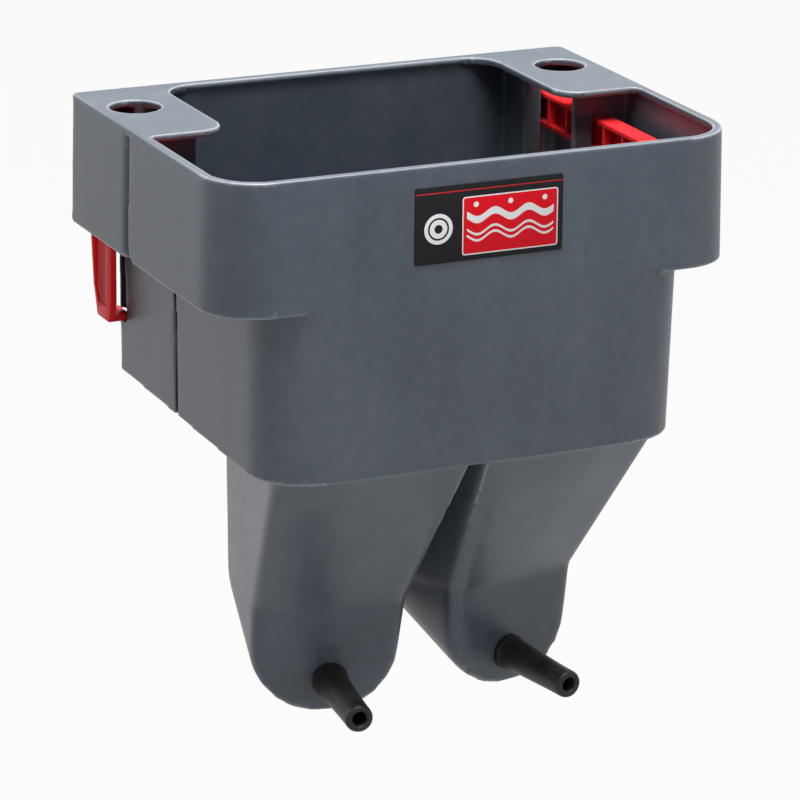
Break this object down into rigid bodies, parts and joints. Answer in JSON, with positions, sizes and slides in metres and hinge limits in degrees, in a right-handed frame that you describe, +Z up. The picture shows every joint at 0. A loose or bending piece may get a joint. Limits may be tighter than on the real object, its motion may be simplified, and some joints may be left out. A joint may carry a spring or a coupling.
{
  "type": "teat milk feeder",
  "caption": "Open-topped grey calf milk tank with splayed lower wells, forward rubber teats and red slide-out hook brackets for hanging on a rail.",
  "frame": {"origin": "on the flat rear wall, halfway across the tank, 120 mm under the rim", "axes": "+X to the right seen from the teats, +Y out of the rear wall towards the rail, +Z up to the rim"},
  "size_m": [0.4634, 0.3484, 0.4987],
  "materials": {
    "grey_plastic": "moulded, faintly mottled",
    "red_plastic": "moulded, satin gloss",
    "black_rubber": "matt",
    "label_print": "printed film"
  },
  "bodies": {
    "tank": {"tank_shell": "grey_plastic", "teat_left": "black_rubber", "teat_right": "black_rubber", "label_plate": "label_print"},
    "bracket_left": {"bracket_left": "red_plastic"},
    "bracket_right": {"bracket_right": "red_plastic"}
  },
  "joints": [
    {"name": "bracket_left_slide", "type": "slide", "parent": "tank", "child": "bracket_left", "axis": [0, 1, 0], "range_m": [0, 0.12]},
    {"name": "bracket_right_slide", "type": "slide", "parent": "tank", "child": "bracket_right", "axis": [0, 1, 0], "range_m": [0, 0.12]}
  ]
}
